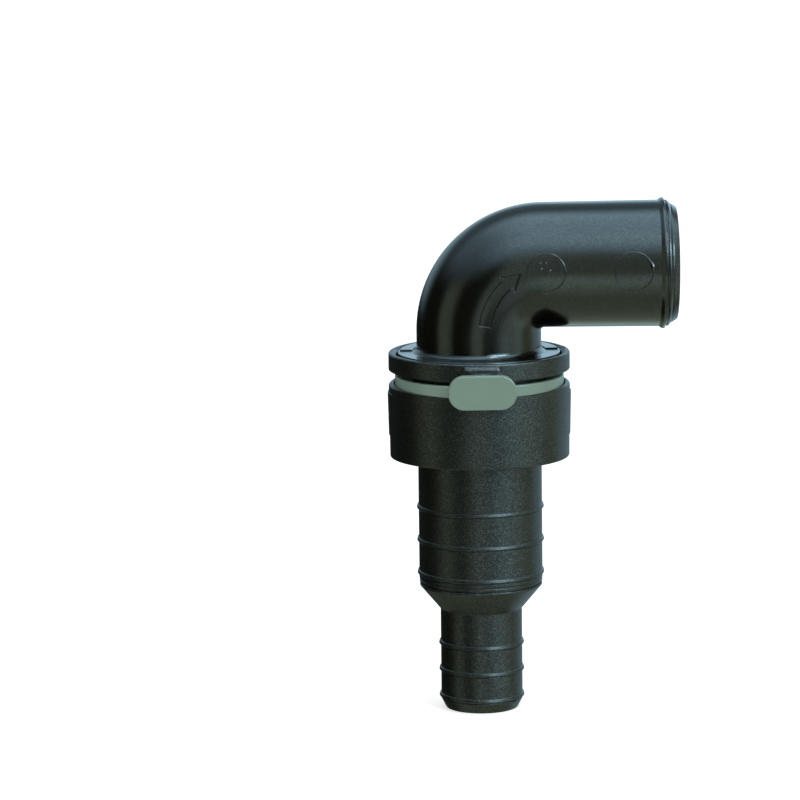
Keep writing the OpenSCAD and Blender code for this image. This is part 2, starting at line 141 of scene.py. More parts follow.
def plate(outline, edge, place):
    """Solid plate. The closed outline (u, v) moves inwards by edge[:, 0] at the heights edge[:, 1],
    rings that shrink towards the middle fill both faces, and place turns (u, v, height) into x, y, z."""
    along = np.roll(outline, -1, axis=0) - np.roll(outline, 1, axis=0)
    inward = np.stack([-along[:, 1], along[:, 0]], axis=-1)
    inward /= np.linalg.norm(inward, axis=1)[:, None]
    spread = outline[None] + edge[:, :1, None] * inward[None]
    middle = (outline.min(axis=0) + outline.max(axis=0)) / 2
    fill = np.array([0.12, 0.3, 0.5, 0.7, 0.88])
    share = fill[:, None, None]
    rows = np.concatenate([middle + share * (spread[:1] - middle), spread,
                           middle + share[::-1] * (spread[-1:] - middle)])
    height = np.concatenate([np.full(len(fill), edge[0, 1]), edge[:, 1],
                             np.full(len(fill), edge[-1, 1])])
    height = np.repeat(height[:, None], len(outline), axis=1)
    return shell(np.stack(place(rows[..., 0], rows[..., 1], height), axis=-1), closed=False)


def prism(outline, low, high):
    """Upright block over a closed plan outline (x, y), with flat ends of one face each. Its sides
    have a row of points close to either end, so that only the ends count as sharp edges, which the
    finish lightens as rubbed wear and as a painted highlight."""
    count = len(outline)
    margin = 0.25
    levels = (low, low + margin, high - margin, high)
    points = np.vstack([np.column_stack([outline, np.full(count, z)]) for z in levels])
    i = np.arange(count)
    j = (i + 1) % count
    side = np.stack([i, j, count + j, count + i], axis=-1)
    sides = np.vstack([side, side + count, side + 2 * count])
    return points, sides, [list(range(count))[::-1], list(range(3 * count, 4 * count))]


def bar(inner, outer, low, high, bevel):
    """Bar between two plan paths. Its section is a rectangle with rounded edges: each section point
    lies a fixed way in from the inner or the outer path, whichever is nearer, so the width it is
    drawn with doesn't count. The end faces stand out a little and are smaller."""
    wide, proud = 10.0, 0.15
    section = fillet([(0, low, bevel), (wide, low, bevel), (wide, high, bevel), (0, high, bevel)])
    outside = section[:, 0] > wide / 2
    inset = np.where(outside, wide - section[:, 0], section[:, 0])[None, :, None]
    span = outer - inner
    span = (span / np.linalg.norm(span, axis=1)[:, None])[:, None]
    plan = np.where(outside[None, :, None], outer[:, None] - span * inset, inner[:, None] + span * inset)
    height = np.repeat(section[None, :, 1:], len(plan), axis=0)
    rings = np.concatenate([plan, height], axis=-1)
    caps = []
    for ring, beyond in ((rings[0], rings[1]), (rings[-1], rings[-2])):
        heart = ring.mean(axis=0)
        out = heart - beyond.mean(axis=0)
        out = proud * out / np.linalg.norm(out)
        caps.append([heart + (ring - heart) * k + out for k in (0.45, 0.93)])
    rings = np.concatenate([caps[0], rings, caps[1][::-1]])
    return shell(rings, closed=False)


def piece(name, body, nodes, material, shells):
    """Mesh object of one or more closed skins in millimetres, riding on a body of the model."""
    points, faces, start = [], [], 0
    for skin in shells:
        points.append(skin[0])
        for group in skin[1:]:
            faces += [[start + v for v in face] for face in
                      (group.tolist() if isinstance(group, np.ndarray) else group)]
        start += len(skin[0])
    mesh = bpy.data.meshes.new(name)
    mesh.from_pydata((np.vstack(points) * MM).tolist(), [], faces)
    mesh.shade_smooth()
    mesh.set_sharp_from_angle(angle=math.radians(CREASE_ANGLE))
    mesh.materials.append(material)
    made = bpy.data.objects.new(name, mesh)
    bpy.context.scene.collection.objects.link(made)
    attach(made, body)
    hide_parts(*nodes)


def put(tree, kind, inputs=None, **settings):
    """New shader node with those settings; an input is set to a value or linked to a socket."""
    made = tree.nodes.new("ShaderNode" + kind)
    for key, value in settings.items():
        setattr(made, key, value)
    for key, value in (inputs or {}).items():
        if isinstance(value, bpy.types.NodeSocket):
            tree.links.new(value, made.inputs[key])
        else:
            made.inputs[key].default_value = value
    return made


def group_tree(name, inputs, outputs):
    """Shader node group with named number inputs, given with their start values, and outputs."""
    tree = bpy.data.node_groups.new(name, "ShaderNodeTree")
    for label, start in inputs.items():
        socket = tree.interface.new_socket(label, in_out="INPUT", socket_type="NodeSocketFloat")
        socket.default_value = start
    for label in outputs:
        tree.interface.new_socket(label, in_out="OUTPUT", socket_type="NodeSocketFloat")
    return tree, tree.nodes.new("NodeGroupInput").outputs, tree.nodes.new("NodeGroupOutput").inputs


def sums(tree, operation, *values):
    """Output of one Math node."""
    return put(tree, "Math", dict(enumerate(values)), operation=operation).outputs[0]


def grain_group():
    """Fine moulded grain: a height from two sizes of noise, bright flecks of glass fibre at the
    middles of a few random cells, a random glint per cell, and a soft tone that changes over some
    millimetres."""
    tree, given, out = group_tree("moulded_grain", {"Grain mm": 0.4, "Fleck mm": 0.5, "Fleck share": 0.1},
                                  ("Height", "Fleck", "Glint", "Tone"))
    coords = put(tree, "TexCoord").outputs["Object"]
    scale = sums(tree, "DIVIDE", 1000.0, given["Grain mm"])
    fine = put(tree, "TexNoise", {"Vector": coords, "Scale": scale, "Detail": 2.0, "Roughness": 0.6})
    rough = put(tree, "TexNoise", {"Vector": coords, "Scale": sums(tree, "MULTIPLY", scale, 0.31),
                                   "Detail": 2.0})
    height = sums(tree, "MULTIPLY_ADD", fine.outputs["Fac"], 0.85,
                  sums(tree, "MULTIPLY", rough.outputs["Fac"], 0.15))
    cells = put(tree, "TexVoronoi", {"Vector": coords,
                                     "Scale": sums(tree, "DIVIDE", 1000.0, given["Fleck mm"])})
    chance = put(tree, "SeparateColor", {0: cells.outputs["Color"]}).outputs[0]
    chosen = sums(tree, "LESS_THAN", chance, given["Fleck share"])
    dot = put(tree, "MapRange", {"Value": cells.outputs["Distance"], "From Min": 0.38, "From Max": 0.12},
              interpolation_type="SMOOTHSTEP").outputs[0]
    tone = put(tree, "TexNoise", {"Vector": coords, "Scale": 260.0, "Detail": 3.0}).outputs["Fac"]
    tree.links.new(height, out["Height"])
    tree.links.new(sums(tree, "MULTIPLY", chosen, dot), out["Fleck"])
    tree.links.new(sums(tree, "POWER", chance, 4.0), out["Glint"])
    tree.links.new(tone, out["Tone"])
    return tree


def wear_and_sheen_group():
    """Use and handling, with painted sheen: sharply convex edges go pale, broken up by noise, as rubbed
    wear and as a painted highlight on ring crests and edges; smudges some centimetres wide, and fine
    scuffs from noise stretched along one direction."""
    tree, given, out = group_tree("use_and_wear", {"Edge": 1.0}, ("Edge", "Smudge", "Scuff"))
    coords = put(tree, "TexCoord").outputs["Object"]
    convex = put(tree, "MapRange", {"Value": put(tree, "NewGeometry").outputs["Pointiness"],
                                    "From Min": 0.53, "From Max": 0.62}).outputs[0]
    broken = put(tree, "MapRange", {"Value": put(tree, "TexNoise", {
        "Vector": coords, "Scale": 420.0, "Detail": 4.0}).outputs["Fac"],
        "From Min": 0.38, "From Max": 0.62}).outputs[0]
    # Convex edges go pale: partly rubbed wear, partly a painted highlight on ring crests and edges.
    edge = sums(tree, "MULTIPLY", sums(tree, "MULTIPLY", convex, broken), given["Edge"])
    smudge = put(tree, "TexNoise", {"Vector": coords, "Scale": 55.0, "Detail": 3.0,
                                    "Distortion": 0.6}).outputs["Fac"]
    turned = put(tree, "Mapping", {"Vector": coords, "Rotation": (0.4, 0.7, 0.5),
                                   "Scale": (1.0, 0.05, 1.0)}).outputs[0]
    lines = put(tree, "TexNoise", {"Vector": turned, "Scale": 1500.0, "Detail": 1.0}).outputs["Fac"]
    patch = put(tree, "TexNoise", {"Vector": coords, "Scale": 120.0, "Detail": 1.0}).outputs["Fac"]
    scuff = sums(tree, "MULTIPLY",
                 put(tree, "MapRange", {"Value": lines, "From Min": 0.68, "From Max": 0.74}).outputs[0],
                 put(tree, "MapRange", {"Value": patch, "From Min": 0.55, "From Max": 0.7}).outputs[0])
    tree.links.new(edge, out["Edge"])
    tree.links.new(smudge, out["Smudge"])
    tree.links.new(scuff, out["Scuff"])
    return tree


GRAIN = grain_group()
WEAR_AND_SHEEN = wear_and_sheen_group()


def finish(name, colour, light, rough, grain_mm, bump_mm, fleck=(0.5, 0.0, 0.0), edge=0.5,
           spread=0.1, mottle=0.08, scuff=0.1, glint=0.0, ior=1.5, metallic=0.0, detail=None):
    """Material of one finish. Base colour: colour, lightened towards light on sharply convex edges, as
    rubbed wear and as a painted highlight on ring crests and edges, on flecks and with the soft tone.
    Roughness: rough, spread wider by smudges and the grain.
    Strength of reflection: uneven from cell to cell by glint, as glass fibres near the skin are."""
    made = bpy.data.materials.new(name)
    made.use_nodes = True
    tree = made.node_tree
    shader = tree.nodes["Principled BSDF"]
    grain = put(tree, "Group", {}, node_tree=GRAIN)
    wear = put(tree, "Group", {}, node_tree=WEAR_AND_SHEEN)
    for key, value in (("Grain mm", grain_mm), ("Fleck mm", fleck[0]), ("Fleck share", fleck[1])):
        grain.inputs[key].default_value = value
    wear.inputs["Edge"].default_value = edge
    bits = sums(tree, "MULTIPLY", grain.outputs["Fleck"], fleck[2])
    # How far the base colour goes pale: flecks, scuffs, and convex edges as wear and painted highlight.
    paler = sums(tree, "ADD", sums(tree, "ADD", wear.outputs["Edge"], bits),
                 sums(tree, "MULTIPLY", wear.outputs["Scuff"], scuff))
    tone = put(tree, "MapRange", {"Value": grain.outputs["Tone"], "From Min": 0.3, "From Max": 0.7,
                                  "To Min": 1 - mottle, "To Max": 1 + mottle}).outputs[0]
    toned = put(tree, "VectorMath", {0: (*colour,), "Scale": tone}, operation="SCALE").outputs[0]
    mixed = put(tree, "Mix", {"Factor": paler, "A": toned, "B": (*light, 1.0)},
                data_type="RGBA", clamp_factor=True)
    tree.links.new(mixed.outputs["Result"], shader.inputs["Base Color"])
    uneven = put(tree, "MapRange", {
        "Value": wear.outputs["Smudge"], "From Min": 0.3, "From Max": 0.7,
        "To Min": rough - spread / 2, "To Max": rough + spread / 2}).outputs[0]
    uneven = sums(tree, "MULTIPLY_ADD", grain.outputs["Height"], spread, uneven)
    uneven = sums(tree, "SUBTRACT", uneven, sums(tree, "ADD", bits, sums(
        tree, "MULTIPLY", wear.outputs["Edge"], 0.15)))
    tree.links.new(uneven, shader.inputs["Roughness"])
    height = grain.outputs["Height"] if detail is None else detail(tree, grain.outputs["Height"])
    bump = put(tree, "Bump", {"Height": height, "Strength": 1.0, "Distance": bump_mm * MM})
    tree.links.new(bump.outputs[0], shader.inputs["Normal"])
    shine = put(tree, "MapRange", {"Value": grain.outputs["Glint"], "To Min": 0.5 - 0.15 * glint,
                                   "To Max": 0.5 + 0.6 * glint}).outputs[0]
    tree.links.new(shine, shader.inputs["Specular IOR Level"])
    shader.inputs["IOR"].default_value = ior
    shader.inputs["Metallic"].default_value = metallic
    return made


def drawn_lines(tree, height):
    """Height of drawn wire: noise stretched along Y, added to the grain."""
    coords = put(tree, "TexCoord").outputs["Object"]
    along = put(tree, "Mapping", {"Vector": coords, "Scale": (1.0, 0.02, 1.0)}).outputs[0]
    lines = put(tree, "TexNoise", {"Vector": along, "Scale": 9000.0, "Detail": 2.0}).outputs["Fac"]
    return sums(tree, "MULTIPLY_ADD", lines, 1.5, height)


# edge sets how pale convex edges and ring crests go: rubbed wear and painted highlight.
grained_nylon = finish("grained_nylon", (0.0030, 0.0023, 0.0012), (0.09, 0.10, 0.11), 0.34, 0.3, 0.03,
                       fleck=(0.2, 0.12, 0.06), edge=0.4, spread=0.05, mottle=0.02, glint=1.1)
smooth_nylon = finish("smooth_nylon", (0.0030, 0.0023, 0.0012), (0.05, 0.055, 0.055), 0.17, 0.3, 0.008,
                      fleck=(0.2, 0.08, 0.06), edge=0.2, spread=0.04, mottle=0.03, glint=0.5)
clip_acetal = finish("clip_acetal", (0.187, 0.272, 0.22), (0.40, 0.50, 0.47), 0.30, 0.5, 0.012,
                     fleck=(1.1, 0.03, 0.02), edge=0.0, spread=0.06, mottle=0.02, scuff=0.0)
natural_acetal = finish("natural_acetal", (0.60, 0.59, 0.50), (0.75, 0.75, 0.70), 0.34, 0.5, 0.012,
                        edge=0.2, spread=0.08, mottle=0.04)
seal_rubber = finish("seal_rubber", (0.012, 0.012, 0.013), (0.05, 0.05, 0.052), 0.55, 0.3, 0.03,
                     edge=0.2, spread=0.14, ior=1.52)
stainless = finish("stainless_steel", (0.45, 0.46, 0.48), (0.6, 0.6, 0.62), 0.22, 0.3, 0.004,
                   edge=0.2, spread=0.1, metallic=1.0, detail=drawn_lines)


def tail_rings(r, heights, h):
    """Corners of gripping rings, round with a sloping face, at those heights on a tail of radius r."""
    return [corner for z in heights for corner in (
        (r, z - 1.05, 0.1), (r - 0.16, z - 0.9, 0.05), (r - 0.1, z - 0.74, 0.03), (r + h, z - 0.6, 0.28),
        (r + h - 0.18, z + 0.1, 0.3), (r + h - 0.25, z + 0.45, 0.3), (r, z + 0.6, 0.05))]


def raised_lip(skin):
    """The cup's rim stands higher at its sides: ring points outside the clip band's circle rise to a
    rounded lip, which runs out at the rear wall and towards the front, where the band comes through."""
    points, quads, tris = skin
    r = np.hypot(points[:, 0], points[:, 1])
    band = BAND_R + 0.1 + BAND_AHEAD * np.clip(-points[:, 1] / r, 0, 1)
    rise = np.clip((r - band) / 0.3, 0, 1) * np.sqrt(np.clip(CUP_R - r, 0, 1))
    rise = rise * np.clip((REAR_Y + 0.7 - points[:, 1]) / 1.5, 0, 1)
    points[:, 2] += LIP_H * rise * (np.abs(points[:, 2] - Z_RIM) < 0.3)
    return points, quads, tris


def body_shells():
    """Moulded body: the tails with the cup, the collar, the walls between them, the core ribs
    under the cup, the guide boss, the two side pads and the nib on the collar."""
    grooves = [(LARGE_TAIL_R - depth, Z_LARGE + up, radius) for depth, up, radius in (
        (0.15, 0.2, 0.35), (0.15, 0.75, 0.2), (0.75, 0.9, 0.08), (0.75, 1.25, 0.08), (0.05, 1.35, 0.15),
        (0.05, 1.95, 0.15), (0.3, 2.1, 0.05), (0.3, 2.35, 0.05), (0.0, 2.5, 0.12))]
    lower = fillet(
        [(SMALL_BORE_R, 0, 0.3), (INLET_END_R, 0, 0.35), (SMALL_TAIL_R, 2.9, 0.6)]
        + tail_rings(SMALL_TAIL_R, SMALL_RINGS, SMALL_RING_H)
        + [(SMALL_TAIL_R, Z_CONE, 0.5)] + grooves
        + tail_rings(LARGE_TAIL_R, LARGE_RINGS, LARGE_RING_H)
        + [(LARGE_TAIL_R, Z_CUP, 0.5), (NECK_R, Z_CUP, 0.2), (NECK_R, CORE_TOP, 0.3)]
        + [(CORE_R, CORE_TOP, 0.3), (CORE_R, Z_CUP, 0.2), (CUP_FOOT_R, Z_CUP, 0.35)]
        + [(CUP_R, Z_RIM, 0.12)] + [(r, Z_RIM) for r in np.arange(27.6, 25.5, -0.15)]
        + [(SOCKET_R, Z_RIM, 0.2), (SOCKET_R, Z_FLOOR, 0.2)]
        + [(LARGE_BORE_R, Z_FLOOR, 0.2), (LARGE_BORE_R, Z_LARGE, 1.0), (SMALL_BORE_R, Z_CONE, 1.0)])
    collar = fillet([
        (SOCKET_R, Z_COLLAR, 0.15), (CUP_R, Z_COLLAR, 0.35), (CUP_R, Z_TOP, 0.55),
        (RECESS_R + 0.95, Z_TOP, 0.1), (RECESS_R, Z_TOP - 0.75, 0.1), (RECESS_R, Z_RECESS, 0.15),
        (SOCKET_R, Z_RECESS, 0.3)])
    shells = [raised_lip(revolve(lower)), revolve(collar)]

    def arc(r, start, end, count=60):
        turn = np.radians(np.linspace(start, end, count))
        return np.column_stack([r * np.cos(turn), r * np.sin(turn)])

    inner_a = math.degrees(math.acos(PILLAR_X / (SOCKET_R + 0.02)))
    outer_a = math.degrees(math.acos(PILLAR_X / NECK_R))
    rear_in = math.degrees(math.asin(REAR_Y / NECK_R))
    rear_out = math.degrees(math.asin(REAR_Y / (CUP_R - 0.3)))
    front = np.vstack([arc(NECK_R, -180 + outer_a, -outer_a),
                       arc(SOCKET_R + 0.02, -inner_a, inner_a - 180)])
    rear = np.vstack([arc(NECK_R, outer_a, rear_in, 8), arc(CUP_R - 0.3, rear_out, 180 - rear_out),
                      arc(NECK_R, 180 - rear_in, 180 - outer_a, 8),
                      arc(SOCKET_R + 0.02, 180 - inner_a, inner_a)])
    for wall in (front, rear):
        shells.append(prism(wall, Z_RIM - 0.2, Z_COLLAR + 0.2))

    rib = np.array([(NECK_R - 0.3, -1), (CORE_R + 0.3, -1), (CORE_R + 0.3, 1), (NECK_R - 0.3, 1)])
    rib[:, 1] *= CORE_RIB_T / 2
    for i in range(CORE_RIBS):
        turn = (i + 0.5) * 2 * math.pi / CORE_RIBS
        spin = np.array([(math.cos(turn), math.sin(turn)), (-math.sin(turn), math.cos(turn))])
        shells.append(prism(rib @ spin, Z_CUP + 0.15, CORE_TOP + 0.3))

    def on_boss(u, v, h):
        """Front of the collar, with the boss's top sloping back as it stands out further."""
        lean = 1.1 * np.clip(h - 0.25, 0, None) * (v - Z_COLLAR) / (Z_TOP - Z_COLLAR)
        r = CUP_R + h
        return u, -np.sqrt(r ** 2 - u ** 2), v - lean

    boss = fillet([(-6.7, Z_COLLAR, 0.2), (6.7, Z_COLLAR, 0.2), (6.1, BOSS_SHOULDER, 1.0),
                   (5.3, Z_TOP - 0.35, 0.9), (-5.3, Z_TOP - 0.35, 0.9), (-6.1, BOSS_SHOULDER, 1.0)])
    rise = fillet([(0, -0.6), (0, BOSS_OUT, 0.45), (1.5, BOSS_OUT)], closed=False)
    shells.append(plate(boss, rise, on_boss))

    half = CUP_R * math.radians(PAD_HALF_ANGLE)
    for side in (0.0, math.pi):
        def on_cup(u, v, h, side=side):
            """Side of the cup: u runs round it and v up it. The pad is thinner lower down, and fades
            out towards its upright sides."""
            share = (v - Z_CUP) / (Z_RIM - Z_CUP)
            full = np.cos(0.48 * math.pi * np.clip(u / half, -1, 1)) ** 2
            r = (CUP_FOOT_R + (CUP_R - CUP_FOOT_R) * share - 0.05
                 + (h + 0.05) * (0.55 + 0.45 * share) * full)
            turn = side + u / CUP_R
            return r * np.cos(turn), r * np.sin(turn), v

        run = np.linspace(-half, half, 29)[1:-1]
        pad = fillet([(-half, PAD_LOW, 0.6)] + [(u, PAD_LOW) for u in run] + [(half, PAD_LOW, 0.6)]
                     + [(half, PAD_HIGH, 0.6)] + [(u, PAD_HIGH) for u in run[::-1]]
                     + [(-half, PAD_HIGH, 0.6)])
        rise = fillet([(0, -0.5), (0, PAD_OUT, 0.3), (1.2, PAD_OUT)], closed=False)
        shells.append(plate(pad, rise, on_cup))

    nib = fillet([(-0.5, -0.5, 0.5), (0.5, -0.5, 0.5), (0.5, 0.5, 0.5), (-0.5, 0.5, 0.5)])
    rise = fillet([(0, -0.3), (0, NIB_H, 0.14), (0.35, NIB_H)], closed=False)
    shells.append(plate(nib, rise, lambda u, v, h: (NIB_X + u, NIB_Y + v, Z_TOP + h)))
    return shells


def arrow_outline():
    """Flow arrow in polar places about the bend's centre, as x and z from that centre: a shaft
    that follows the bend and widens a little, then a three-cornered head."""
    count = 12
    turn = np.radians(np.linspace(12.0, 54.5, count))
    outer = np.linspace(20.75, 22.25, count)
    inner = np.linspace(17.1, 18.75, count)
    inner_turn = np.radians(np.linspace(12.0, 56.0, count))
    angles = np.concatenate([turn, np.radians([54.0, 68.6, 57.0]), inner_turn[::-1]])
    reach = np.concatenate([outer, [23.5, 21.4, 17.4], inner[::-1]])
    return np.column_stack([-reach * np.cos(angles) - 0.1, reach * np.sin(angles) - 0.2])


def inside_by(spots, outline):
    """How far each spot lies inside a closed outline: the distance to its nearest side, taken as
    negative where a ray from the spot crosses an even number of sides."""
    a, b = outline, np.roll(outline, -1, axis=0)
    side = b - a
    gap = spots[:, None] - a
    share = np.clip((gap * side).sum(-1) / (side ** 2).sum(-1), 0, 1)
    away = np.linalg.norm(gap - share[..., None] * side, axis=-1).min(axis=1)
    x, y = spots[:, :1], spots[:, 1:]
    spans = (a[:, 1] > y) != (b[:, 1] > y)
    cut = a[:, 0] + (y - a[:, 1]) / np.where(side[:, 1] == 0, 1e-9, side[:, 1]) * side[:, 0]
    odd = (spans & (x < cut)).sum(axis=1) % 2
    return np.where(odd == 1, away, -away)


def elbow_shells():
    """Elbow, plug and spigot as one skin: circles of changing radius go up the plug and the upright
    tube, turn through the bend, run along the spigot and come back through the bore. The flow
    arrow is pressed in: ring points inside its outline move inwards. Flange pads and the fine
    lines of two moulding inserts lie on top."""
    outside = fillet([
        (SKIRT_R, Z_PLUG, 0.1), (LAND_R - 0.6, Z_PLUG, 0.1), (LAND_R, Z_PLUG + 0.6, 0.2),
        (LAND_R, SEAL_LOW, 0.15), (GROOVE_R, SEAL_LOW, 0.15), (GROOVE_R, SEAL_HIGH, 0.15),
        (LAND_R, SEAL_HIGH, 0.15), (LAND_R, Z_RIM, 0.15), (GROOVE_R, Z_RIM, 0.15),
        (GROOVE_R, Z_COLLAR, 0.15), (LAND_R, Z_COLLAR, 0.15), (LAND_R, Z_RECESS + 0.2, 0.1),
        (FLANGE_R, Z_RECESS + 0.2, 0.2), (FLANGE_R, Z_TOP, 0.3), (ELBOW_R, Z_TOP, 1.9),
        (ELBOW_R, Z_BEND - 0.4)], closed=False, step=9.0)
    spigot = fillet([
        (0.4, ELBOW_R), (34.95, SPIGOT_R, 0.25), (36.0, SPIGOT_R + 0.7, 0.3), (36.7, SPIGOT_R + 0.7, 0.2),
        (36.95, ELBOW_R - 0.25, 0.04), (37.3, ELBOW_R - 0.25, 0.04), (37.4, SPIGOT_R + 0.04, 0.1),
        (37.9, SPIGOT_R - 0.15, 0.15), (38.5, 18.45, 0.06), (38.55, 18.2, 0.04), (38.85, 18.1, 0.04),
        (38.95, 18.2, 0.1), (39.7, 17.75, 0.15), (OUTLET_L, 17.15, 0.3), (OUTLET_L, ELBOW_BORE_R, 0.3),
        (0.4, ELBOW_BORE_R)], closed=False, step=9.0)
    inside = fillet([
        (ELBOW_BORE_R, Z_BEND - 0.4), (ELBOW_BORE_R, Z_TOP - 1, 0.5), (WAY_R, Z_WAY, 0.5),
        (WAY_R, SEAL_LOW - 0.2, 0.2), (SKIRT_R, Z_SKIRT, 0.2), (SKIRT_R, Z_PLUG + 0.15)], closed=False)
    pressed = np.arange(9.2, 70.5, 0.38)
    sweep = np.radians(np.concatenate([np.arange(0, 9, 2.0), pressed, np.arange(72, 91, 2.0)]))
    back = np.radians(np.arange(90, -1, -3.0))
    lean = np.concatenate([np.zeros(len(outside)), sweep, np.full(len(spigot), math.pi / 2), back,
                           np.zeros(len(inside))])
    radius = np.concatenate([outside[:, 0], np.full(len(sweep), ELBOW_R), spigot[:, 1],
                             np.full(len(back), ELBOW_BORE_R), inside[:, 0]])
    centre_x = np.concatenate([np.zeros(len(outside)), BEND_R * (1 - np.cos(sweep)),
                               BEND_R + spigot[:, 0], BEND_R * (1 - np.cos(back)),
                               np.zeros(len(inside))])
    centre_z = np.concatenate([outside[:, 1], Z_BEND + BEND_R * np.sin(sweep),
                               np.full(len(spigot), Z_OUTLET), Z_BEND + BEND_R * np.sin(back),
                               inside[:, 1]])
    turn = np.radians(np.concatenate([np.arange(0, 78, 3.0), np.arange(78, 101, 0.32),
                                      np.arange(103, 360, 3.0)]))
    radius = np.repeat(radius[:, None], len(turn), axis=1)
    rows = slice(len(outside), len(outside) + len(sweep))
    reach = BEND_R + radius[rows] * np.cos(turn)
    spots = np.stack([-reach * np.cos(sweep[:, None]), reach * np.sin(sweep[:, None])], axis=-1)
    front = np.broadcast_to(np.sin(turn) > 0, spots.shape[:2])
    depth = inside_by(spots.reshape(-1, 2), arrow_outline()).reshape(spots.shape[:2])
    press = np.clip(depth / ARROW_EDGE + 0.5, 0, 1) * front
    radius[rows] -= ARROW_DEPTH * press * press * (3 - 2 * press)
    lean, centre_x, centre_z = lean[:, None], centre_x[:, None], centre_z[:, None]
    rings = np.stack([centre_x - radius * np.cos(turn) * np.cos(lean), -radius * np.sin(turn),
                      centre_z + radius * np.cos(turn) * np.sin(lean)], axis=-1)
    shells = [shell(rings)]

    for side in (1, -1):
        def on_flange(u, v, h, side=side):
            """Top of the flange: u is the angle round it and v the radius."""
            return side * v * np.cos(u), v * np.sin(u), Z_TOP + h

        count, middle_r = 48, 22.8
        run = np.linspace(math.radians(4), math.radians(70), count)
        pad = np.vstack([np.column_stack([run, np.full(count, FLANGE_PAD_IN)]),
                         np.column_stack([run[::-1], np.full(count, FLANGE_PAD_OUT)])])
        number = np.arange(2 * count)
        at_start = np.isin(number, (0, 2 * count - 1))
        at_end = np.isin(number, (count - 1, count))
        inwards = np.column_stack([at_start * 1 - at_end * 1, np.where(number < count, 1, -1)])
        rings = []
        for inset, h in ((0.6, -0.3), (0.0, -0.3), (0.0, 0.3), (0.12, FLANGE_PAD_H), (0.8, FLANGE_PAD_H)):
            drawn = pad + inwards * inset * np.array([1 / middle_r, 1])
            rings.append(np.stack(on_flange(drawn[:, 0], drawn[:, 1], np.full(2 * count, h)), axis=-1))
        shells.append(strip(np.array(rings), count))

    for x, nick in ((CIRCLE_X, 0.0), (FAR_CIRCLE_X, CIRCLE_NICK)):
        shells.append(surface_line(x, Z_OUTLET, CIRCLE_R, nick))
    for x, z in ((-1.85, 2.9), (-0.15, 3.0), (-1.5, 1.2), (1.1, 0.7)):
        shells.append(surface_line(CIRCLE_X + x, Z_OUTLET + z, 0.2, 0.0))
    return shells


def strip(rings, count):
    """Closed skin of a long curved pad: the rows close round its edge, and its two faces are
    filled straight across, from each point of one long side to its partner on the other."""
    points, quads, _ = shell(rings, closed=False)
    points = points[:-2]
    cols = 2 * count
    a = np.arange(count - 1)
    b = cols - 1 - a
    low = np.stack([a, b, b - 1, a + 1], axis=-1)
    high = (len(rings) - 1) * cols + low[:, ::-1]
    faces = np.vstack([quads, low, high])
    parts = np.vstack([faces[:, [0, 1, 2]], faces[:, [0, 2, 3]]])
    p, q, r = (points[parts[:, i]] for i in range(3))
    if np.einsum("ij,ij->", p, np.cross(q, r)) < 0:
        faces = faces[:, ::-1]
    return points, faces


def surface_line(x, z, r, nick):
    """Fine raised circle on the front of the spigot: a thin ring whose centre line is a circle of
    radius r seen from the front, laid on the round tube and sunk a little into it. It is thicker by
    nick where the insert has left a mark, at its right side."""
    sunk, taper_l = 0.06, 34.7
    turn = np.linspace(0, 2 * math.pi, 144, endpoint=False)[:, None]
    roll = np.linspace(0, 2 * math.pi, 8, endpoint=False)[None]
    thick = 0.2 + nick * np.exp(-((turn - 0.25) / 0.22) ** 2)
    wide = r + thick * np.cos(roll)
    rise = thick * np.sin(roll) - sunk
    across = wide * np.sin(turn)
    angle = np.arcsin(across / ELBOW_R)
    tube = ELBOW_R + (SPIGOT_R - ELBOW_R) * (x - BEND_R) / taper_l + rise
    return shell(np.stack([x + wide * np.cos(turn), -tube * np.cos(angle),
                           z + tube * np.sin(angle)], axis=-1))


